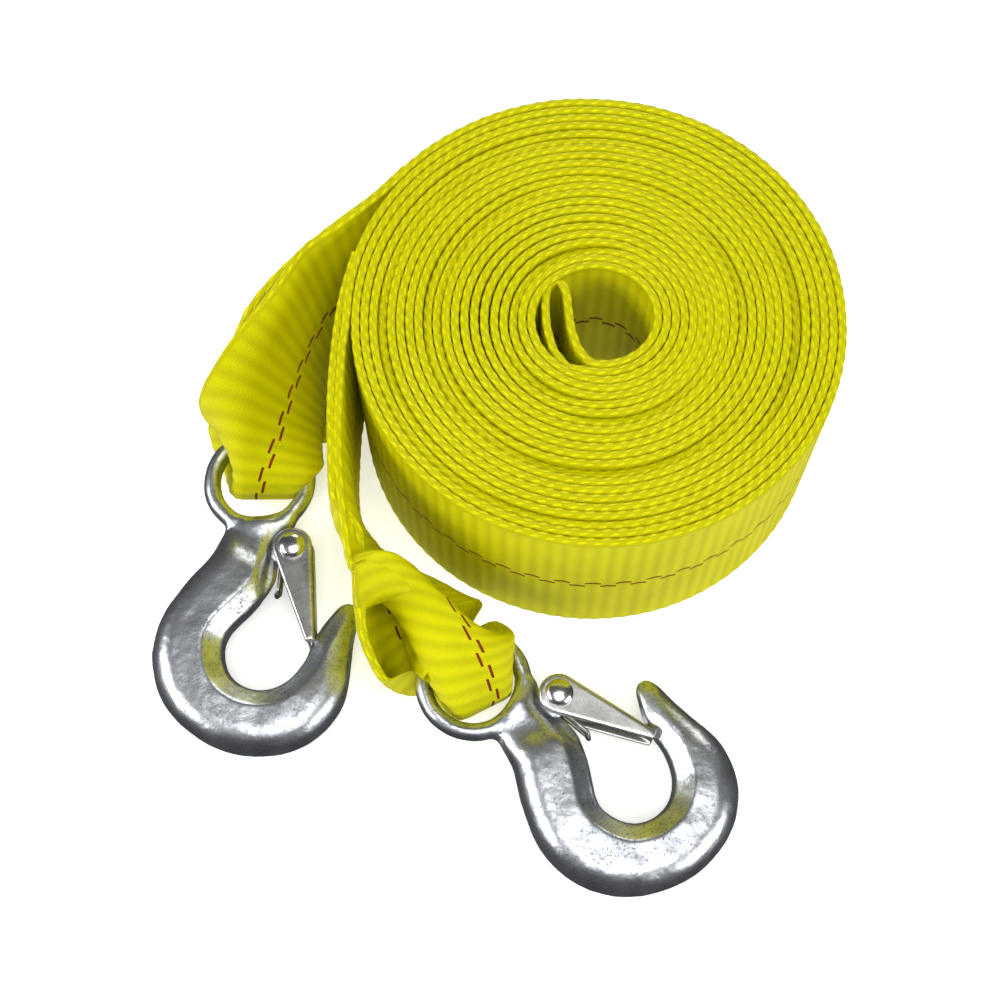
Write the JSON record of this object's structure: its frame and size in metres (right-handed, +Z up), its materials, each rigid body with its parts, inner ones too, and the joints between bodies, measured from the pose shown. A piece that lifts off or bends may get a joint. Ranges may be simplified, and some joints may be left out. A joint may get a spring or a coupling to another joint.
{
  "type": "tow strap",
  "caption": "Rolled flat webbing tow strap, folded at its middle and wound on edge, with a forged eye hook and sprung latch on each end.",
  "frame": {"origin": "middle of the footprint of the whole strap, on the floor it lies on", "axes": "+Z up along the roll's axis; the hooks lie on the -Y side of the roll; the left hook is towards -X and the right hook reaches furthest along -Y"},
  "size_m": [0.161, 0.1818, 0.05],
  "materials": {
    "webbing": "ribbed fluorescent yellow polyester webbing with a dark red double tracer",
    "forged_steel": "forged, bright zinc plated",
    "sheet_steel": "pressed sheet, zinc plated",
    "rivet_steel": "domed, bright plated",
    "spring_wire": "dark drawn wire"
  },
  "bodies": {
    "strap": {"webbing": "webbing"},
    "hook_left": {"hook_left": "forged_steel", "rivet_left": "rivet_steel", "spring_left": "spring_wire"},
    "latch_left": {"latch_left": "sheet_steel"},
    "hook_right": {"hook_right": "forged_steel", "rivet_right": "rivet_steel", "spring_right": "spring_wire"},
    "latch_right": {"latch_right": "sheet_steel"}
  },
  "joints": [
    {"name": "hook_left_swing", "type": "hinge", "parent": "strap", "child": "hook_left", "pos_m": [-0.05819, 0.02019, 0.0104], "axis": [-0.9994, 0.0349, 0], "range_deg": [-45, 8]},
    {"name": "latch_left_open", "type": "hinge", "parent": "hook_left", "child": "latch_left", "pos_m": [-0.04939, -0.0094, 0.00874], "axis": [0.002, 0.0566, -0.9984], "range_deg": [0, 28], "stiffness_Nm_per_rad": 0.04, "springref_deg": -17.19},
    {"name": "hook_right_swing", "type": "hinge", "parent": "strap", "child": "hook_right", "pos_m": [-0.01167, -0.03329, 0.0104], "axis": [-0.8387, -0.5446, 0], "range_deg": [-30, 45]},
    {"name": "latch_right_open", "type": "hinge", "parent": "hook_right", "child": "latch_right", "pos_m": [0.01459, -0.04627, 0.00888], "axis": [-0.0329, 0.0506, -0.9982], "range_deg": [0, 28], "stiffness_Nm_per_rad": 0.04, "springref_deg": -17.19}
  ]
}
